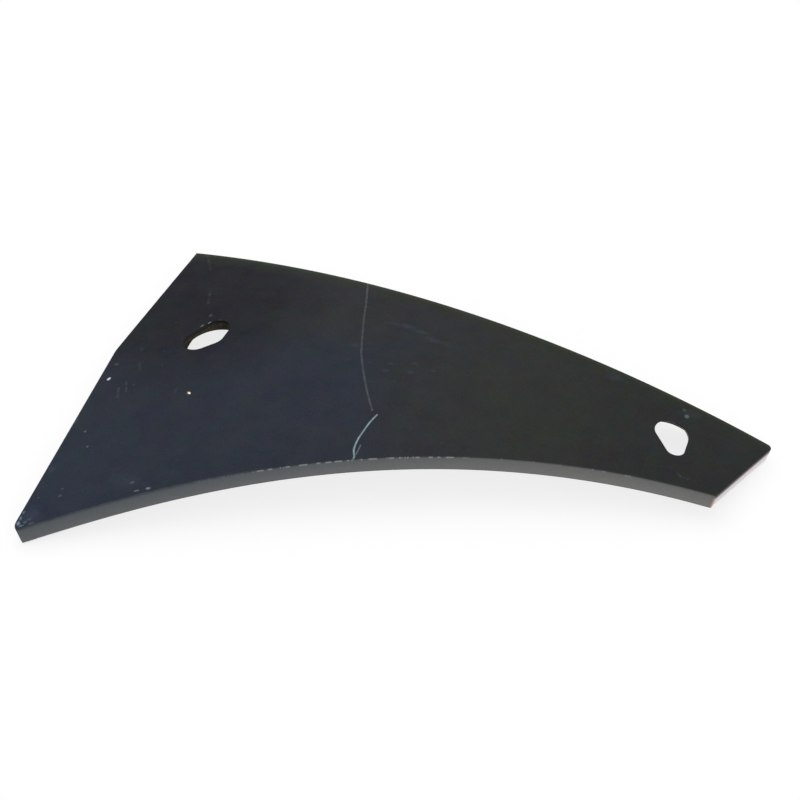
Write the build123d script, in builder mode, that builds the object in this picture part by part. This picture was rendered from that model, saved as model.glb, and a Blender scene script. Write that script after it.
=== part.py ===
from build123d import *
from math import cos, radians, sin, tan
import os

# A mouldboard breast: a wear plate cut from flat steel, bent, and countersunk for two plough bolts.
# The convex back is up. Sizes along the plate are measured round the bend, as on the flat blank,
# from the foot corner, where the share edge meets the hollow edge. All sizes are in millimetres.

# Plate
thickness = 8.0
bend_radius = 744.0  # of the convex back
crown = 151.2  # foot corner to the line where the bend is level
edge_round = 0.5

# Share edge, the wide end: two straight runs that meet at a knee
share_width = 196.4
share_lean = 29.3
knee_height = 119.1
knee_lean = 8.3
knee_round = 30.0
worn_height = 5.5  # the foot corner is worn round from here
worn_reach = 2.3

# Top edge, the narrow end
plate_length = 317.9
tip_height = 95.6
top_width = 39.8
top_lean = 26.6
tip_round = 2.2
nose_round = 1.2

# The two long edges: an arc, and a hollow curve by its angle and pull at each corner
shin_radius = 1858.0
foot_angle = 20.9
foot_pull = 45.0
nose_angle = 4.7
nose_pull = 140.5

# Bolt holes and their seats
bolt_hole = 13.4
seat_angle = 90.0
share_bolt_along = 54.3
share_bolt_up = 126.6
tip_bolt_back = 47.2
tip_bolt_down = 5.6

# Each hole is drawn out between two circles, placed from its bolt
share_low_along = -5.8
share_low_up = -3.5
share_low_radius = 6.8
share_high_along = 1.7
share_high_up = 5.4
share_high_radius = 6.4
tip_low_along = 2.5
tip_low_up = -10.2
tip_low_radius = 4.3
tip_high_along = 1.4
tip_high_up = -0.8
tip_high_radius = 7.3

# How the plate lies, and room for the cutting tools
heading = 8.2  # degrees from the bend to the long way of the plate as it lies
overrun = 20.0
wear_run_on = 30.0  # degrees of the wear arc past the foot corner
end_seam = 0.02  # of a long edge, straight at each end

foot = (0.0, 0.0)
worn = (-worn_reach, worn_height)
knee = (knee_lean, knee_height)
shin = (share_lean, share_width)
tip = (plate_length, tip_height)
nose = (plate_length - top_lean, tip_height - top_width)
share_bolt = (share_bolt_along, share_bolt_up)
tip_bolt = (plate_length - tip_bolt_back, tip_height - tip_bolt_down)
share_drawn = (
    ((share_low_along, share_low_up), share_low_radius),
    ((share_high_along, share_high_up), share_high_radius),
)
tip_drawn = (
    ((tip_low_along, tip_low_up), tip_low_radius),
    ((tip_high_along, tip_high_up), tip_high_radius),
)


def station(along):
    """The plane that touches the back at a distance along the blank."""
    turn = (along - crown) / bend_radius
    return Plane(
        origin=(bend_radius * sin(turn), 0, bend_radius * (cos(turn) - 1)),
        x_dir=(cos(turn), 0, -sin(turn)),
        z_dir=(sin(turn), 0, cos(turn)),
    )


def seen_from(along, point):
    """A point of the blank as it shows, square on, in the plane of a station."""
    return Vector(bend_radius * sin((point[0] - along) / bend_radius), point[1])


def underside(point):
    """The place of a point of the blank on the concave face."""
    return station(point[0]).offset(-thickness).from_local_coords(Vector(0, point[1], 0))


def toward(angle):
    return Vector(cos(radians(angle)), sin(radians(angle)))


# The bent strip between the two long edges, with its ends still too long. Each long edge runs on
# straight from just before its corners, so that the square cuts there meet one smooth wall.
level = [seen_from(crown, corner) for corner in (foot, shin, tip, nose)]
shin_curve = RadiusArc(level[1], level[2], shin_radius)
hollow_curve = Bezier(
    level[3],
    level[3] + nose_pull * toward(180 - nose_angle),
    level[0] + foot_pull * toward(foot_angle),
    level[0],
)
with BuildPart() as strip:
    with BuildSketch(Plane.XY.offset(-bend_radius / 2)) as plan:
        with BuildLine():
            run_ons = []
            for curve in (shin_curve, hollow_curve):
                edge = curve.trim(end_seam, 1 - end_seam)
                add(edge)
                run_ons.append(Line(edge @ 0, edge @ 0 - overrun * (edge % 0)))
                run_ons.append(Line(edge @ 1, edge @ 1 + overrun * (edge % 1)))
            Line(run_ons[0] @ 1, run_ons[3] @ 1)
            Line(run_ons[1] @ 1, run_ons[2] @ 1)
        make_face()
    extrude(amount=bend_radius)
    with Locations(Plane((0, 0, -bend_radius), x_dir=(1, 0, 0), z_dir=(0, 1, 0))):
        Cylinder(bend_radius, 4 * (share_width + overrun), mode=Mode.INTERSECT)
back = strip.faces().sort_by(Axis.Z)[-1]

with BuildPart() as bent:
    thicken(back, amount=-thickness)

    # The share edge is cut square to the plate, from the worn foot corner over the knee
    share_station = share_lean / 2
    foot_point, worn_point, knee_point, shin_point = [
        seen_from(share_station, point) for point in (foot, worn, knee, shin)
    ]
    with BuildSketch(station(share_station)) as share_cut:
        with BuildLine():
            wear = TangentArc(worn_point, foot_point, tangent=worn_point - knee_point, mode=Mode.PRIVATE)
            past_foot = wear.arc_center + (foot_point - wear.arc_center).rotate(Axis.Z, wear_run_on)
            past_shin = shin_point + overrun * (shin_point - knee_point).normalized()
            ThreePointArc(worn_point, foot_point, past_foot)
            below = past_foot - Vector(0, overrun)
            clear = Vector(-4 * overrun)
            Polyline(worn_point, knee_point, past_shin, past_shin + clear, below + clear, below, past_foot)
        make_face()
        fillet(share_cut.vertices().sort_by_distance(knee_point)[0], knee_round)
    extrude(amount=bend_radius / 2, both=True, mode=Mode.SUBTRACT)

    # The top edge is one square cut
    top_station = (tip[0] + nose[0]) / 2
    tip_point, nose_point = [seen_from(top_station, point) for point in (tip, nose)]
    along_top = (tip_point - nose_point).normalized()
    with BuildSketch(station(top_station)) as top_cut:
        with BuildLine():
            Polyline(
                nose_point - overrun * along_top,
                tip_point + overrun * along_top,
                tip_point + overrun * along_top + Vector(4 * overrun),
                nose_point - overrun * along_top + Vector(4 * overrun),
                close=True,
            )
        make_face()
    extrude(amount=bend_radius / 2, both=True, mode=Mode.SUBTRACT)

    # The top edge's corners are rounded through the plate
    for corner, radius in ((tip, tip_round), (nose, nose_round)):
        middle_depth = station(corner[0]).from_local_coords(Vector(0, corner[1], -thickness / 2))
        fillet(bent.edges().sort_by_distance(middle_depth)[0], radius)

    # Each bolt hole is drawn out to one side, and its seat widens from the back to the concave face
    for bolt, drawn in ((share_bolt, share_drawn), (tip_bolt, tip_drawn)):
        touching = station(bolt[0])
        bolt_plane = Plane(touching.from_local_coords(Vector(0, bolt[1])), touching.x_dir, touching.z_dir)
        with BuildSketch(bolt_plane) as hole:
            for centre, radius in (((0, 0), bolt_hole / 2), *drawn):
                with Locations(centre):
                    Circle(radius)
            make_hull()
        extrude(amount=2 * thickness, both=True, mode=Mode.SUBTRACT)
        flare = tan(radians(seat_angle / 2))
        with Locations(bolt_plane.offset(-2 * thickness)):
            Cone(
                bolt_hole / 2 + 2 * thickness * flare,
                0,
                bolt_hole / 2 / flare + 2 * thickness,
                align=(Align.CENTER, Align.CENTER, Align.MIN),
                mode=Mode.SUBTRACT,
            )
    both_faces = bent.faces().filter_by(GeomType.CYLINDER).sort_by(SortBy.AREA)[-2:]
    fillet([edge for face in both_faces for edge in face.outer_wire().edges()], edge_round)

# It lies on three places of its concave rim, with its back up and the hollow edge to the front
foot_rest, knee_rest, tip_rest = [underside(point) for point in (worn, knee, tip)]
lying = Plane(foot_rest, x_dir=toward(heading), z_dir=(tip_rest - foot_rest).cross(knee_rest - foot_rest))
lain = lying.to_local_coords(bent.part)
middle, lowest = lain.bounding_box().center(), lain.bounding_box().min.Z
with BuildPart() as breast_plate:
    with Locations((-middle.X, -middle.Y, -lowest)):
        add(lain)
breast_plate.part.label = "breast_plate"

os.makedirs("parts", exist_ok=True)
export_step(breast_plate.part, "parts/breast_plate.step")
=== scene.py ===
# %% [markdown]
# A mouldboard breast is the small steel plate at the front of a plough's mouldboard. It meets the soil
# first and wears out first, so it is a separate plate, held by two plough bolts whose heads sink into
# seats in its hollow working face. This one is cut from flat steel, bent, and painted black, and it
# carries the marks that handling leaves on a part before it is fitted.
#
# The shape comes packed from CAD and is right as it is, so this script adds what CAD can't give: the
# finish, the light and the camera. Everything is in metres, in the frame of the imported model.

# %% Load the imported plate
from math import cos, sin

import bpy
from mathutils import Matrix, Vector

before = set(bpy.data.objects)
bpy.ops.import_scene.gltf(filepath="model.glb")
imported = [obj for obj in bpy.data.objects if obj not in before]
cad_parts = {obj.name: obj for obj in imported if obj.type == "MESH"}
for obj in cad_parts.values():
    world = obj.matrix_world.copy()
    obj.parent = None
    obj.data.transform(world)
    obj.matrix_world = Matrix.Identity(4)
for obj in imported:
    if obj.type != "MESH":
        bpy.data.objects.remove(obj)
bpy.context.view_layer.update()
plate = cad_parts["breast_plate"]

# %% [markdown]
# The camera stands in front of the hollow edge and looks down at about 42 degrees, as a person does
# at a part on a bench. Its matrix gives the right, up and backward directions as columns. A camera
# could also be aimed with a Track To constraint, but a matrix holds the slight roll of the photograph.

# %% Camera
camera_place = Vector((0.00037, -0.52192, 0.47099))
camera_axes = Matrix((
    (0.999996, 0.002088, 0.002038),
    (0.000099, 0.673809, -0.738906),
    (-0.002916, 0.738903, 0.673806),
))
camera_data = bpy.data.cameras.new("camera")
camera_data.lens = 67.5
camera_data.sensor_width = 36.0
camera = bpy.data.objects.new("camera", camera_data)
camera.matrix_world = Matrix.Translation(camera_place) @ camera_axes.to_4x4()
bpy.context.scene.collection.objects.link(camera)
bpy.context.scene.camera = camera
bpy.context.scene.view_settings.view_transform = "Standard"
print("camera at", tuple(round(v, 3) for v in camera_place))

# %% [markdown]
# Every shader below is a tree of nodes. Wiring each node by hand takes three lines, so a few short
# helpers do it in one: they add a node, set its options, and feed each input from another node's
# socket or from a plain number. A Mix node keeps a set of sockets for each kind of value: 2 and 3 are
# its numbers, 6 and 7 its colours. Lengths inside the materials are in millimetres, as on the drawing.

# %% Helpers for node trees
mm_per_metre = 1000.0


def feed(tree, socket, value):
    """Links a socket to another node's output, or sets it to a plain value."""
    if isinstance(value, bpy.types.NodeSocket):
        tree.links.new(value, socket)
    else:
        socket.default_value = value


def put(tree, kind, values=None, **options):
    """A new node with its options set and its inputs fed, by name or by number."""
    node = tree.nodes.new(kind)
    for option, value in options.items():
        setattr(node, option, value)
    for socket, value in (values or {}).items():
        feed(tree, node.inputs[socket], value)
    return node


def reckon(tree, operation, *values):
    """The result of one Math node."""
    return put(tree, "ShaderNodeMath", dict(enumerate(values)), operation=operation).outputs[0]


def times(tree, first, *rest):
    """The product of several values or masks."""
    for value in rest:
        first = reckon(tree, "MULTIPLY", first, value)
    return first


def any_of(tree, first, *rest):
    """One mask that is as high as the highest of these."""
    for mask in rest:
        first = reckon(tree, "MAXIMUM", first, mask)
    return first


def steer(tree, operation, *vectors, out="Vector"):
    """The result of one Vector Math node."""
    node = put(tree, "ShaderNodeVectorMath", dict(enumerate(vectors)), operation=operation)
    return node.outputs[out]


def stretch(tree, vector, factor):
    """A vector made longer by a factor."""
    return put(tree, "ShaderNodeVectorMath", {0: vector, "Scale": factor}, operation="SCALE").outputs[0]


def fade(tree, value, start, end, low=0.0, high=1.0):
    """A smooth change from low to high, as value goes from start to end. It needs no clamp."""
    ends = {"Value": value, "From Min": start, "From Max": end, "To Min": low, "To Max": high}
    return put(tree, "ShaderNodeMapRange", ends, interpolation_type="SMOOTHSTEP", clamp=False).outputs[0]


def band(tree, value, start, inside, leave, end):
    """A mask that is 1 between inside and leave, and fades to 0 at start and at end."""
    return times(tree, fade(tree, value, start, inside), fade(tree, value, leave, end, 1.0, 0.0))


def lay(tree, mask, above, below):
    """The colour above laid over the colour below, where the mask is 1."""
    return put(tree, "ShaderNodeMix", {0: mask, 6: below, 7: above}, data_type="RGBA").outputs[2]


def in_millimetres(tree, shift=0.0):
    """The object's own coordinates, made millimetres, for the noise textures."""
    source = put(tree, "ShaderNodeTexCoord").outputs["Object"]
    values = {"Vector": source, "Location": (shift, shift, shift), "Scale": (mm_per_metre,) * 3}
    return put(tree, "ShaderNodeMapping", values).outputs[0]


def grain(tree, place, size, detail=2.0, seed=0.0):
    """Noise around 0.5 whose lumps are about this many millimetres across."""
    values = {"Vector": place, "W": seed, "Scale": 1.0 / size, "Detail": detail}
    return put(tree, "ShaderNodeTexNoise", values, noise_dimensions="4D").outputs[0]


def stripes(tree, distance, size, detail, seed):
    """Noise around 0.5 that changes along one distance alone."""
    values = {"W": reckon(tree, "ADD", distance, seed), "Scale": 1.0 / size, "Detail": detail}
    return put(tree, "ShaderNodeTexNoise", values, noise_dimensions="1D").outputs[0]


def start_group(name, inputs, outputs):
    """An empty node group with named sockets: inputs as (name, kind, value), outputs as names."""
    group = bpy.data.node_groups.new(name, "ShaderNodeTree")
    for label, kind, value in inputs:
        made = group.interface.new_socket(label, in_out="INPUT", socket_type="NodeSocket" + kind)
        made.default_value = value
    for label in outputs:
        group.interface.new_socket(label, in_out="OUTPUT", socket_type="NodeSocketFloat")
    return group, group.nodes.new("NodeGroupInput").outputs, group.nodes.new("NodeGroupOutput").inputs


print("helpers ready")

# %% [markdown]
# The floor is a plain pale sheet. To the camera it is white, with a little of the light that falls on
# it mixed in, so that the plate still throws a soft shadow. To every other ray it is an ordinary pale
# floor, and it bounces light up to the cut edges. The world behind it is made the same way.

# %% Floor
floor_size = 6.0
floor_colour = (0.8, 0.8, 0.8, 1.0)
pure_white = (1.0, 1.0, 1.0, 1.0)
shadow_share = 0.2

bpy.ops.object.select_all(action="DESELECT")
bpy.ops.mesh.primitive_plane_add(size=floor_size)
floor = bpy.context.active_object
floor.name = "floor"


def seen_directly(tree):
    """1 for rays from the camera, a mirror or glass, which see the background itself."""
    rays = put(tree, "ShaderNodeLightPath").outputs
    return any_of(tree, rays["Is Camera Ray"], rays["Is Glossy Ray"], rays["Is Transmission Ray"])


pale = bpy.data.materials.new("pale_floor")
pale.use_nodes = True
tree = pale.node_tree
tree.nodes.clear()
sheet = put(tree, "ShaderNodeBsdfDiffuse", {"Color": floor_colour}).outputs[0]
white = put(tree, "ShaderNodeEmission", {"Color": pure_white, "Strength": 1.0}).outputs[0]
lit = put(tree, "ShaderNodeBsdfDiffuse", {"Color": pure_white}).outputs[0]
shown = put(tree, "ShaderNodeMixShader", {0: shadow_share, 1: white, 2: lit}).outputs[0]
either = put(tree, "ShaderNodeMixShader", {0: seen_directly(tree), 1: sheet, 2: shown}).outputs[0]
put(tree, "ShaderNodeOutputMaterial", {"Surface": either})
floor.data.materials.append(pale)
print("floor", floor_size, "m wide")

# %% World
room_light = 0.58

world = bpy.data.worlds.new("studio")
world.use_nodes = True
tree = world.node_tree
tree.nodes.clear()
room = put(tree, "ShaderNodeBackground", {"Color": pure_white, "Strength": room_light}).outputs[0]
backdrop = put(tree, "ShaderNodeBackground", {"Color": pure_white, "Strength": 1.0}).outputs[0]
either = put(tree, "ShaderNodeMixShader", {0: seen_directly(tree), 1: room, 2: backdrop}).outputs[0]
put(tree, "ShaderNodeOutputWorld", {"Surface": either})
bpy.context.scene.world = world
print("room light", room_light)

# %% [markdown]
# Two large soft lamps do the rest: one overhead and a little behind, for the broad sheen on the bent
# back, and a weaker one in front, which fills the hollow cut edge that faces the camera.

# %% Lamps
def soft_lamp(name, place, size, watts):
    """A square area lamp that faces the plate."""
    data = bpy.data.lights.new(name, "AREA")
    data.size = size
    data.energy = watts
    lamp = bpy.data.objects.new(name, data)
    turn = (-Vector(place)).to_track_quat("-Z", "Y")
    lamp.matrix_world = Matrix.Translation(place) @ turn.to_matrix().to_4x4()
    bpy.context.scene.collection.objects.link(lamp)


soft_lamp("overhead", (-0.25, 0.45, 1.2), 1.1, 8.5)
soft_lamp("front", (0.5, -1.1, 0.5), 0.9, 4.5)

# %% [markdown]
# The marks on a flat sheet are easy to place, and this plate was a flat sheet before it was bent. So
# the first node group rolls it flat again. From the surface point it works out how far along the
# blank it is, how far up, how deep under the back, and how squarely the surface faces out of the
# bend: 1 on the back, 0 on a cut wall, minus 1 on the working face. Every mark then has the same
# coordinates as the drawing, measured from the foot corner, and follows the bend by itself.

# %% Node group: the plate rolled flat
bend_radius = 744.0
crown = 151.2  # along the blank, where the bend is level
bend_centre = (-4.54, -131.99, -717.95)
across = (0.98968, -0.1426, 0.01448)
up_the_blank = (0.14286, 0.98955, -0.01957)
out_of_bend = (-0.01154, 0.02144, 0.9997)

flat, given, result = start_group("flat_blank", [], ["Along", "Up", "Depth", "Facing"])
source = put(flat, "ShaderNodeTexCoord").outputs
from_centre = steer(flat, "SUBTRACT", stretch(flat, source["Object"], mm_per_metre), bend_centre)
x = steer(flat, "DOT_PRODUCT", from_centre, across, out="Value")
y = steer(flat, "DOT_PRODUCT", from_centre, up_the_blank, out="Value")
z = steer(flat, "DOT_PRODUCT", from_centre, out_of_bend, out="Value")
turned = reckon(flat, "ARCTAN2", x, z)
feed(flat, result["Along"], reckon(flat, "MULTIPLY_ADD", turned, bend_radius, crown))
feed(flat, result["Up"], y)
reach = reckon(flat, "SQRT", reckon(flat, "MULTIPLY_ADD", x, x, times(flat, z, z)))
feed(flat, result["Depth"], reckon(flat, "SUBTRACT", bend_radius, reach))
normal_x = steer(flat, "DOT_PRODUCT", source["Normal"], across, out="Value")
normal_z = steer(flat, "DOT_PRODUCT", source["Normal"], out_of_bend, out="Value")
turned_out = reckon(flat, "MULTIPLY_ADD", x, normal_x, times(flat, z, normal_z))
feed(flat, result["Facing"], reckon(flat, "DIVIDE", turned_out, reach))
print("group", flat.name)

# %% [markdown]
# A scratch is a thin line between two points of the blank. The second group measures how far the
# surface is from that line and gives a mask: its strength on the line, 0 beside it. The mask made so
# far comes in and the higher of the two goes out, so that many lines can follow one another. The
# renderer has little room for values that wait, and this way only one of them waits at a time.

# %% Node group: a scratch
line_inputs = [
    ("Place", "Vector", (0.0, 0.0, 0.0)),
    ("From", "Vector", (0.0, 0.0, 0.0)),
    ("To", "Vector", (1.0, 1.0, 0.0)),
    ("Width", "Float", 0.4),
    ("Strength", "Float", 1.0),
    ("So far", "Float", 0.0),
]
scratch, given, result = start_group("scratch", line_inputs, ["Mask"])
to_here = steer(scratch, "SUBTRACT", given["Place"], given["From"])
run = steer(scratch, "SUBTRACT", given["To"], given["From"])
toward_here = steer(scratch, "DOT_PRODUCT", to_here, run, out="Value")
run_squared = steer(scratch, "DOT_PRODUCT", run, run, out="Value")
part_way = reckon(scratch, "DIVIDE", toward_here, run_squared)
part_way = reckon(scratch, "MINIMUM", reckon(scratch, "MAXIMUM", part_way, 0.0), 1.0)
off_line = steer(scratch, "SUBTRACT", to_here, stretch(scratch, run, part_way))
widths_off = reckon(scratch, "DIVIDE", steer(scratch, "LENGTH", off_line, out="Value"), given["Width"])
line = fade(scratch, widths_off, 0.15, 0.8, 1.0, 0.0)
feed(scratch, result["Mask"], any_of(scratch, times(scratch, line, given["Strength"]), given["So far"]))
print("group", scratch.name)

# %% [markdown]
# A chip, a speck of dust or a rub is a small patch. The third group makes one: an ellipse round a
# point, whose edge is eaten into by noise so that it never looks stamped. The ellipse comes as its
# two directions, each divided by the half length that way, so that one product of vectors gives how
# far out a point is. The noise comes in from outside, because many patches share it. The group takes
# the mask made so far, as the scratch does.

# %% Node group: a patch
patch_inputs = [
    ("Place", "Vector", (0.0, 0.0, 0.0)),
    ("Centre", "Vector", (0.0, 0.0, 0.0)),
    ("Long way", "Vector", (1.0, 0.0, 0.0)),
    ("Short way", "Vector", (0.0, 1.0, 0.0)),
    ("Strength", "Float", 1.0),
    ("Ragged", "Float", 0.0),
    ("Core", "Float", 0.6),
    ("So far", "Float", 0.0),
]
patch, given, result = start_group("patch", patch_inputs, ["Mask"])
off_centre = steer(patch, "SUBTRACT", given["Place"], given["Centre"])
long_part = steer(patch, "DOT_PRODUCT", off_centre, given["Long way"], out="Value")
short_part = steer(patch, "DOT_PRODUCT", off_centre, given["Short way"], out="Value")
squares = reckon(patch, "MULTIPLY_ADD", long_part, long_part, times(patch, short_part, short_part))
away = reckon(patch, "ADD", reckon(patch, "SQRT", squares), given["Ragged"])
spot = times(patch, fade(patch, away, given["Core"], 1.1, 1.0, 0.0), given["Strength"])
feed(patch, result["Mask"], any_of(patch, spot, given["So far"]))
print("group", patch.name)

# %% [markdown]
# The finish is one material with the whole story in it. It is built up as the real one was: black
# paint over everything, thin and sandy on the cut walls, rust in the bolt holes, bare steel where the
# top edge was ground, and last the rubs, chips and scratches of handling.

# %% Material: start with the blank's coordinates
finish = bpy.data.materials.new("handled_black_paint")
finish.use_nodes = True
tree = finish.node_tree
tree.nodes.clear()
object_mm = in_millimetres(tree)
blank = put(tree, "ShaderNodeGroup", node_tree=flat).outputs
along, up, depth, facing = (blank[name] for name in ("Along", "Up", "Depth", "Facing"))
on_blank = steer(tree, "ADD", stretch(tree, (1.0, 0.0, 0.0), along), stretch(tree, (0.0, 1.0, 0.0), up))
steepness = reckon(tree, "ABSOLUTE", facing)
on_back = fade(tree, facing, 0.3, 0.6)
is_wall = fade(tree, steepness, 0.3, 0.5, 1.0, 0.0)
print("material", finish.name)

# %% [markdown]
# The back isn't one black. Toward the foot it has a cold blue cast, which is a painted reflection of
# cool light on the bent back; past the middle it is neutral, further on it is faintly olive, and round
# the shin corner it is darkest, which is painted shade. Clouds a few centimetres wide move the borders
# between them. Two noises in colour, one blotchy and one fine, are laid on with the Linear Light
# blend, which adds what lies above half and takes away what lies below. The paint is a little lighter
# and olive at the shin edge, which a circle on the blank follows closely.

# %% Material: the paint on the two faces
foot_blue_reflection = (0.0105, 0.0165, 0.0310, 1.0)
black_with_blue_reflection = (0.0092, 0.0136, 0.0246, 1.0)
plain_black = (0.0128, 0.0142, 0.0165, 1.0)
olive_black = (0.0146, 0.0170, 0.0148, 1.0)
deep_black = (0.0124, 0.0142, 0.0138, 1.0)
shin_corner_painted_shade = (0.0003, 0.0012, 0.0052, 1.0)
shin_corner = (40.0, 163.0, 0.0)
shin_circle = (-458.83, -1659.98, 0.0)
shin_circle_radius = 1919.59

clouds = grain(tree, object_mm, 38.0, 3.0, 1.0)
drift = reckon(tree, "MULTIPLY_ADD", clouds, 60.0, -30.0)
drifted_along = reckon(tree, "ADD", along, drift)
drifted_up = reckon(tree, "ADD", up, drift)
# Painted reflection: a cold blue cast toward the foot, as if the bent back mirrored a cool light.
foot_reflection_zone = times(tree, fade(tree, drifted_along, 20.0, 70.0, 1.0, 0.0), fade(tree, up, 25.0, 80.0, 1.0, 0.0))
paint = lay(tree, foot_reflection_zone, foot_blue_reflection, black_with_blue_reflection)
toward_tip = fade(tree, drifted_along, 125.0, 170.0)
toward_shin = fade(tree, drifted_up, 105.0, 150.0)
paint = lay(tree, any_of(tree, toward_tip, toward_shin), plain_black, paint)
paint = lay(tree, fade(tree, drifted_along, 165.0, 205.0), olive_black, paint)
paint = lay(tree, fade(tree, drifted_along, 215.0, 265.0), deep_black, paint)
# Painted shade: the back is darkest round the shin corner.
from_corner = steer(tree, "DISTANCE", on_blank, shin_corner, out="Value")
shin_corner_shade_mask = fade(tree, reckon(tree, "ADD", from_corner, times(tree, drift, 0.4)), 25.0, 88.0, 1.0, 0.0)
paint = lay(tree, shin_corner_shade_mask, shin_corner_painted_shade, paint)
from_centre = steer(tree, "DISTANCE", on_blank, shin_circle, out="Value")
shin_gap = reckon(tree, "SUBTRACT", shin_circle_radius, from_centre)
paint = lay(tree, fade(tree, shin_gap, 2.0, 10.0, 0.6, 0.0), (0.0140, 0.0180, 0.0105, 1.0), paint)
paint = lay(tree, fade(tree, shin_gap, 0.6, 3.2, 0.75, 0.0), (0.0270, 0.0340, 0.0200, 1.0), paint)


def coloured_noise(size, detail, seed):
    """Noise with a value of its own in each colour."""
    values = {"Vector": object_mm, "W": seed, "Scale": 1.0 / size, "Detail": detail}
    return put(tree, "ShaderNodeTexNoise", values, noise_dimensions="4D").outputs["Color"]


def tint(strength, noise, below):
    """The colour below, made lighter or darker by noise."""
    values = {0: strength, 6: below, 7: noise}
    return put(tree, "ShaderNodeMix", values, data_type="RGBA", blend_type="LINEAR_LIGHT").outputs[2]


blotches = coloured_noise(7.0, 2.0, 3.0)
fine_specks = coloured_noise(1.0, 2.0, 2.0)
hidden_paint = tint(0.010, fine_specks, plain_black)
paint = tint(0.009, fine_specks, tint(0.0055, blotches, paint))
print("paint on the faces")

# %% [markdown]
# Dust and tiny chips lie all over the foot end, thickest near the share edge. A Voronoi texture gives
# one random point a cell, and only the cells whose random colour is high keep their dot.

# %% Material: pale specks
def specks(cell, radius, share, seed):
    """A mask of small dots, one in some of the cells of this many millimetres."""
    dots = put(tree, "ShaderNodeTexVoronoi", {"Vector": in_millimetres(tree, seed), "Scale": 1.0 / cell})
    chance = put(tree, "ShaderNodeSeparateColor", {0: dots.outputs["Color"]}).outputs
    size = reckon(tree, "MULTIPLY_ADD", chance[1], radius / cell, 0.3 * radius / cell)
    dot = fade(tree, reckon(tree, "DIVIDE", dots.outputs["Distance"], size), 0.3, 1.0, 1.0, 0.0)
    return times(tree, dot, reckon(tree, "GREATER_THAN", chance[0], 1.0 - share), chance[2])


dust = specks(4.0, 0.6, 0.45, 11.0)
near_share_edge = fade(tree, along, 4.0, 50.0, 0.34, 0.05)
paint = lay(tree, times(tree, dust, near_share_edge), (0.11, 0.17, 0.22, 1.0), paint)
print("specks")

# %% [markdown]
# The long scratch runs over the back from the shin edge, and a brighter, curved stroke meets it near
# the hollow edge. Each is a chain of short lines. Noise breaks up their strength, because a real
# scratch skips where the tool or the stone bounced. The fainter lines come from other parts that slid
# over this one.

# %% Material: scratches
skip_noise = grain(tree, object_mm, 2.2, 3.0)


def lines(chains, width, strength, skips, so_far=0.0):
    """One mask for several scratches, each a chain of points on the blank, that skip here and there."""
    broken = fade(tree, skip_noise, 0.42, 0.56, strength, strength * (1.0 - skips))
    for points in chains:
        for start, end in zip(points, points[1:]):
            values = {"Place": on_blank, "From": (*start, 0.0), "To": (*end, 0.0), "So far": so_far}
            values.update({"Width": width, "Strength": broken})
            so_far = put(tree, "ShaderNodeGroup", values, node_tree=scratch).outputs[0]
    return so_far


long_scratch = [
    (123.4, 168.2), (125.1, 151.7), (126.0, 139.5), (127.4, 126.6), (128.7, 116.2),
    (130.3, 108.9), (132.4, 100.7), (135.5, 90.0), (137.6, 83.8), (140.1, 76.7),
]
stroke = [
    (142.6, 74.0), (141.3, 71.3), (140.1, 68.4), (139.0, 65.0), (138.0, 61.5), (137.1, 58.5),
    (136.6, 55.8), (136.3, 53.3), (136.2, 50.8), (136.6, 48.7), (137.1, 46.9), (137.0, 44.5),
]
fork = [(138.6, 54.0), (138.2, 51.0), (137.6, 48.0)]
faint_lines = [
    [(36.3, 193.0), (38.1, 187.4), (40.9, 180.5)],
    [(45.2, 162.4), (46.7, 152.5)],
    [(18.8, 90.2), (20.2, 83.3)],
    [(21.3, 94.4), (23.3, 87.5)],
    [(274.3, 64.7), (275.7, 62.7), (278.5, 62.1)],
    [(241.2, 123.6), (245.0, 122.8)],
]
grey_marks = lines(faint_lines, 1.3, 0.11, 0.7, lines([long_scratch], 0.9, 0.30, 0.4))
paint = lay(tree, grey_marks, (0.155, 0.165, 0.185, 1.0), paint)
stroke_mark = lines([stroke], 0.72, 0.62, 0.3, lines([fork], 0.6, 0.22, 0.3))
print("scratches")

# %% [markdown]
# Rubs from other plates leave faint bluish smears and short dashes. They are patches with a soft, well
# eaten edge. Chips are small hard ones, thickest at the foot corner. Over the share bolt's hole, small
# pale dots along its rim are painted highlights, made as chips. One speck of dried clay has a rusty
# halo. Each row of numbers is a patch: its place along and up the blank, its half length and half
# height, how far it is turned in radians, and its strength.

# %% Material: rubs, chips, painted rim highlights and specks
def patches(rows, raggedness, noise_size, core=0.6):
    """One mask for several patches, given in rows, with edges eaten by noise."""
    so_far = 0.0
    eaten = grain(tree, object_mm, noise_size, 3.0, 4.0)
    ragged = reckon(tree, "MULTIPLY_ADD", eaten, raggedness, -0.5 * raggedness)
    for spot_along, spot_up, half_along, half_up, turn, strength in rows:
        long_way = (cos(turn) / half_along, sin(turn) / half_along, 0.0)
        short_way = (-sin(turn) / half_up, cos(turn) / half_up, 0.0)
        values = {"Place": on_blank, "Centre": (spot_along, spot_up, 0.0)}
        values.update({"Long way": long_way, "Short way": short_way, "Strength": strength})
        values.update({"Ragged": ragged, "Core": core, "So far": so_far})
        so_far = put(tree, "ShaderNodeGroup", values, node_tree=patch).outputs[0]
    return so_far


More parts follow.
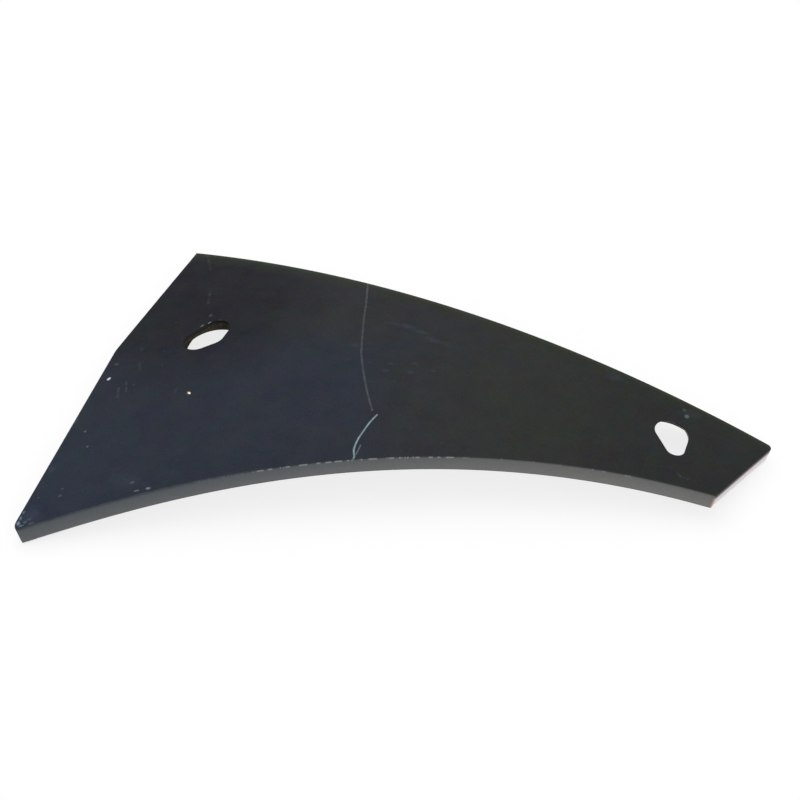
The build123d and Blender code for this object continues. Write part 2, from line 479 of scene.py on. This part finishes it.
rubs = patches([
    (147.2, 137.2, 5.0, 2.4, -0.3, 0.26),
    (154.3, 134.0, 4.5, 1.6, -0.3, 0.28),
    (160.8, 128.5, 5.0, 2.2, -0.3, 0.24),
    (140.0, 139.0, 6.0, 1.2, -0.2, 0.16),
    (167.0, 126.5, 6.0, 2.0, -0.3, 0.12),
    (125.0, 121.0, 3.0, 1.8, 0.0, 0.22),
    (123.2, 110.7, 2.5, 1.6, 0.0, 0.16),
    (133.3, 109.3, 1.9, 1.2, 0.0, 0.22),
    (143.4, 109.4, 1.9, 1.2, 0.0, 0.20),
    (154.7, 110.9, 1.9, 1.2, 0.0, 0.20),
    (141.8, 104.4, 2.1, 1.2, 0.0, 0.30),
    (153.2, 104.4, 2.1, 1.2, 0.0, 0.26),
    (163.3, 106.9, 1.9, 1.2, 0.0, 0.24),
    (280.4, 104.9, 6.5, 4.0, 0.0, 0.16),
    (245.1, 119.9, 5.5, 3.4, 0.0, 0.20),
    (42.0, 27.5, 11.0, 6.0, -0.4, 0.16),
    (3.5, 8.5, 6.0, 7.0, 0.0, 0.24),
    (24.7, 105.5, 1.1, 5.0, 0.35, 0.18),
    (22.0, 118.5, 1.0, 3.0, 0.35, 0.16),
    (47.4, 86.7, 1.0, 2.6, -0.1, 0.24),
    (3.8, 69.0, 2.2, 3.6, 0.0, 0.36),
    (3.5, 37.0, 2.2, 3.6, 0.0, 0.30),
], 1.6, 3.4, 0.1)
chips_and_rim_glints = patches([
    (11.7, 97.4, 0.85, 1.45, -0.5, 0.85),
    (12.2, 108.0, 1.5, 0.9, 0.0, 0.05),
    (278.3, 102.4, 1.4, 1.5, 0.0, 0.11),
    (277.2, 106.4, 1.2, 1.2, 0.0, 0.04),
    (47.6, 21.5, 1.5, 0.6, 0.3, 0.15),
    (52.5, 22.9, 1.3, 0.9, 0.3, 0.20),
    (44.2, 26.5, 1.3, 1.0, 0.6, 0.06),
    (11.6, 60.8, 0.8, 0.8, 0.0, 0.11),
    (16.0, 50.5, 0.7, 0.8, 0.0, 0.09),
    (13.3, 19.7, 1.0, 1.0, 0.0, 0.05),
    (13.0, 24.0, 0.8, 0.8, 0.0, 0.05),
    (50.4, 142.4, 1.2, 1.6, 0.0, 0.045),
    # Painted highlights: the next four rows are glints along the share bolt hole's upper rim.
    (48.2, 134.5, 1.2, 0.65, 0.9, 0.15),
    (51.4, 136.5, 1.1, 0.7, 0.6, 0.30),
    (53.5, 137.2, 1.1, 0.6, 0.5, 0.22),
    (56.0, 138.2, 1.6, 0.6, 0.3, 0.08),
], 0.7, 1.1, 0.35)
foot_chips = patches([
    (-0.6, 4.0, 1.1, 1.5, 0.3, 0.50),
    (2.4, 4.6, 1.2, 0.9, 0.2, 0.15),
    (-0.6, 7.0, 0.8, 1.5, 0.2, 0.34),
    (1.2, 2.4, 1.6, 0.7, 0.3, 0.26),
    (3.7, 6.1, 1.2, 0.9, 0.6, 0.09),
    (-0.4, 10.6, 0.7, 1.4, 0.0, 0.26),
    (5.5, 3.6, 1.8, 0.6, 0.4, 0.14),
], 1.1, 1.0, 0.2)
clay_halo = patches([(54.1, 85.1, 1.5, 1.6, 0.0, 0.80)], 0.7, 1.2, 0.2)
clay = patches([(54.5, 84.8, 1.15, 0.65, -0.75, 0.95)], 0.3, 1.0, 0.5)
paint = lay(tree, rubs, (0.048, 0.058, 0.098, 1.0), paint)
paint = lay(tree, chips_and_rim_glints, (0.70, 0.76, 0.80, 1.0), paint)
paint = lay(tree, foot_chips, (0.36, 0.46, 0.62, 1.0), paint)
paint = lay(tree, stroke_mark, (0.38, 0.56, 0.60, 1.0), paint)
paint = lay(tree, clay_halo, (0.12, 0.055, 0.014, 1.0), paint)
paint = lay(tree, clay, (0.92, 0.84, 0.66, 1.0), paint)
print("rubs and spots")

# %% [markdown]
# The working face was painted the same way but lies hidden under the plate. It keeps the paint and
# none of the marks, which belong to the back alone.

# %% Material: the marks stay on the back
paint = lay(tree, on_back, paint, hidden_paint)
print("marks kept to the back")

# %% [markdown]
# The cut walls took the paint thinly over a rough cut, so they are a lighter grey with a sandy grain:
# colder near the foot and paler near the tip. Painted shade darkens them just under the back's rim, and
# painted bounce light from the floor makes them lighter all the way down. The grain is faint near the
# foot and coarser near the tip.

# %% Material: the cut walls
sand = grain(tree, object_mm, 0.9, 4.0, 5.0)
wall_cloud = grain(tree, object_mm, 8.0, 3.0, 6.0)
# Painted light: the walls get lighter with depth, as light bounced up from the floor would make them.
painted_floor_bounce = fade(tree, depth, -0.5, 9.0)
grit = times(tree, reckon(tree, "SUBTRACT", sand, 0.5), fade(tree, along, 150.0, 290.0, 0.7, 1.5))
wall_tone = reckon(tree, "ADD", reckon(tree, "MULTIPLY_ADD", wall_cloud, 0.3, -0.15), grit)
wall_tone = reckon(tree, "ADD", wall_tone, painted_floor_bounce)
cold_wall = lay(tree, wall_tone, (0.130, 0.136, 0.141, 1.0), (0.088, 0.101, 0.112, 1.0))
warm_wall = lay(tree, wall_tone, (0.184, 0.184, 0.176, 1.0), (0.142, 0.143, 0.137, 1.0))
wall = lay(tree, fade(tree, along, 40.0, 290.0), warm_wall, cold_wall)
# Painted shade: a dark band just under the back's rim.
wall = lay(tree, fade(tree, depth, 0.1, 1.6, 0.50, 0.0), (0.034, 0.038, 0.044, 1.0), wall)
lower_rim = band(tree, facing, -0.99, -0.85, -0.3, -0.1)
wall = lay(tree, times(tree, lower_rim, 0.85), (0.045, 0.046, 0.047, 1.0), wall)
colour = lay(tree, is_wall, wall, paint)
print("cut walls")

# %% [markdown]
# The rim of the back is rounded by half a millimetre, so there the surface turns from facing out of
# the bend to facing sideways, and the facing value picks exactly that band. Its paint is thinner and
# greyer. Near the foot a broken, colder and lighter line on it is a painted highlight.

# %% Material: the painted rims
rim = band(tree, facing, 0.12, 0.3, 0.93, 0.99)
hollow_side = fade(tree, up, 75.0, 60.0)
foot_rim_highlight_reach = times(tree, hollow_side, fade(tree, along, 75.0, 110.0, 1.0, 0.0))
rim_breaks = fade(tree, grain(tree, object_mm, 2.4, 3.0, 14.0), 0.3, 0.6, 0.5, 1.0)
colour = lay(tree, times(tree, rim, hollow_side, 0.5), (0.034, 0.036, 0.040, 1.0), colour)
# Painted highlight: a broken light bluish line along the rounded rim near the foot.
colour = lay(tree, times(tree, rim, foot_rim_highlight_reach, rim_breaks, 0.8), (0.054, 0.068, 0.082, 1.0), colour)
print("painted rims")

# %% [markdown]
# Inside the bolt holes the paint is thin. In the share bolt's hole rust shows brown under a dark upper
# band, which toward the tip is painted shade. In the tip bolt's hole painted shade lies under the rim,
# then a pale grey band of painted highlight, with rust further down. A distance from each bolt's
# centre on the blank finds the holes, their walls and their seats.

# %% Material: the bolt holes
share_bolt = (54.3, 126.6)
tip_bolt = (270.7, 90.0)
seat_reach = 15.5


def near_bolt(bolt):
    """1 within the reach of a bolt's seat, 0 outside it."""
    gap = steer(tree, "DISTANCE", on_blank, (*bolt, 0.0), out="Value")
    return fade(tree, gap, seat_reach, seat_reach + 1.0, 1.0, 0.0)


near_tip_bolt = near_bolt(tip_bolt)
not_flat = fade(tree, steepness, 0.75, 0.95, 1.0, 0.0)
in_hole = times(tree, any_of(tree, near_bolt(share_bolt), near_tip_bolt), not_flat)
rust_cloud = grain(tree, object_mm, 2.2, 4.0, 7.0)
pale_rust = (0.095, 0.076, 0.060, 1.0)
dark_rust = (0.040, 0.034, 0.028, 1.0)
thin_paint = (0.030, 0.030, 0.026, 1.0)
deep_shade = (0.012, 0.013, 0.011, 1.0)
pale_highlight = (0.30, 0.29, 0.27, 1.0)
dim_highlight = (0.16, 0.152, 0.14, 1.0)
brown = lay(tree, fade(tree, rust_cloud, 0.35, 0.65), pale_rust, dark_rust)
upper_wall = lay(tree, fade(tree, along, 48.0, 58.0), deep_shade, thin_paint)
share_wall = lay(tree, fade(tree, depth, 1.0, 2.4), brown, upper_wall)
# Painted highlight: a pale grey band on the tip hole's far wall.
tip_hole_highlight = lay(tree, fade(tree, rust_cloud, 0.35, 0.6), pale_highlight, dim_highlight)
# Painted shade: the top of the tip hole's wall, just under the rim, is near black.
tip_wall = lay(tree, fade(tree, depth, 0.3, 0.8), tip_hole_highlight, (0.014, 0.015, 0.015, 1.0))
tip_wall = lay(tree, fade(tree, depth, 2.6, 3.4), brown, tip_wall)
hole_wall = lay(tree, near_tip_bolt, tip_wall, share_wall)
colour = lay(tree, in_hole, hole_wall, colour)
print("bolt holes")

# %% [markdown]
# The top edge was ground square after painting, so it is bare steel: bright low down, dark and a
# little red toward its upper rim. The direction that it faces finds it. Just under the hollow rim the
# paint is knocked off in short dashes, in three runs: dots nearest the foot, then a thick row in the
# middle of the edge, and a few single dashes further on.

# %% Material: bare steel
top_edge_faces = (0.728, -0.6695, -0.1475)
top_edge_middle = (304.6, 75.7, 0.0)
outward = put(tree, "ShaderNodeTexCoord").outputs["Normal"]
toward_top_edge = steer(tree, "DOT_PRODUCT", outward, top_edge_faces, out="Value")
off_holes = reckon(tree, "SUBTRACT", 1.0, in_hole)
on_wall = fade(tree, facing, 0.10, 0.35, 1.0, 0.0)
ground = times(tree, fade(tree, toward_top_edge, 0.80, 0.90), off_holes, on_wall)
dash_noise = stripes(tree, along, 3.6, 2.0, 8.0)
dot_noise = stripes(tree, along, 1.1, 1.0, 15.0)
dots = times(tree, fade(tree, dot_noise, 0.46, 0.60, 0.0, 0.5), band(tree, along, 70.0, 74.0, 90.0, 98.0))
row = times(tree, fade(tree, dash_noise, 0.47, 0.55), band(tree, along, 84.0, 100.0, 178.0, 192.0))
past_row = band(tree, along, 190.0, 200.0, 262.0, 266.0)
single = times(tree, fade(tree, dash_noise, 0.62, 0.66, 0.0, 0.7), past_row)
dashes = any_of(tree, row, dots, single)
dash_line = band(tree, depth, 0.1, 0.45, 0.95, 1.4)
knocked = times(tree, dashes, dash_line, hollow_side, off_holes)
bare = any_of(tree, ground, times(tree, knocked, 0.24))
steel_tone = grain(tree, object_mm, 1.6, 4.0, 9.0)
steel = lay(tree, steel_tone, (0.74, 0.68, 0.70, 1.0), (0.60, 0.56, 0.58, 1.0))
steel = lay(tree, fade(tree, depth, 1.2, 3.3, 1.0, 0.0), (0.052, 0.040, 0.043, 1.0), steel)
steel = lay(tree, fade(tree, depth, 5.0, 8.0), (0.97, 0.95, 0.95, 1.0), steel)
steel = lay(tree, knocked, (0.62, 0.64, 0.66, 1.0), steel)
colour = lay(tree, bare, steel, colour)
from_top_edge = steer(tree, "DISTANCE", on_blank, top_edge_middle, out="Value")
along_top_edge = fade(tree, from_top_edge, 25.0, 27.0, 1.0, 0.0)
at_top_edge = times(tree, along_top_edge, fade(tree, toward_top_edge, 0.1, 0.4))
flush_line = times(tree, rim, at_top_edge)
colour = lay(tree, times(tree, flush_line, 0.8), (0.050, 0.034, 0.038, 1.0), colour)
nose_rust = patches([(291.3, 55.9, 1.1, 0.9, 0.0, 0.7)], 0.4, 1.0, 0.3)
nose_rust = times(tree, nose_rust, fade(tree, depth, 1.0, 2.5))
colour = lay(tree, nose_rust, (0.48, 0.30, 0.22, 1.0), colour)
nose_rub = times(tree, patches([(290.3, 57.0, 1.8, 0.8, 0.0, 0.35)], 0.5, 1.0, 0.3), rim)
colour = lay(tree, nose_rub, (0.30, 0.32, 0.36, 1.0), colour)
print("bare steel")

# %% [markdown]
# Gloss and relief follow the same masks. The paint is satin, the walls are duller, and bare steel is
# smoother. It is metal only where it is bright: its upper part is too dull to mirror anything. A Bump
# node turns height into shading: orange peel on the paint and sand on the walls.

# %% Material: gloss, relief and the shader
def choose(mask, above, below):
    """The number above where the mask is 1, and the one below elsewhere."""
    return put(tree, "ShaderNodeMix", {0: mask, 2: below, 3: above}).outputs[0]


paint_gloss = fade(tree, grain(tree, object_mm, 12.0, 3.0, 10.0), 0.3, 0.7, 0.42, 0.54)
gloss = choose(is_wall, 0.68, paint_gloss)
gloss = choose(in_hole, 0.92, gloss)
gloss = choose(bare, 0.36, gloss)
peel = times(tree, grain(tree, object_mm, 1.4, 2.0, 12.0), 0.014)
height = choose(is_wall, times(tree, sand, 0.12), peel)
relief = put(tree, "ShaderNodeBump", {"Strength": 1.0, "Distance": 0.001, "Height": height}).outputs[0]
shader = put(tree, "ShaderNodeBsdfPrincipled", {
    "Base Color": colour,
    "Metallic": times(tree, bare, fade(tree, depth, 0.6, 3.2, 0.0, 0.9)),
    "Roughness": gloss,
    "Specular IOR Level": 0.10,
    "Normal": relief,
}).outputs[0]
put(tree, "ShaderNodeOutputMaterial", {"Surface": shader})
print("nodes in the finish", len(tree.nodes))

# %% Dress the plate
for slot in plate.material_slots:
    slot.material = finish
print("plate slots", len(plate.material_slots))
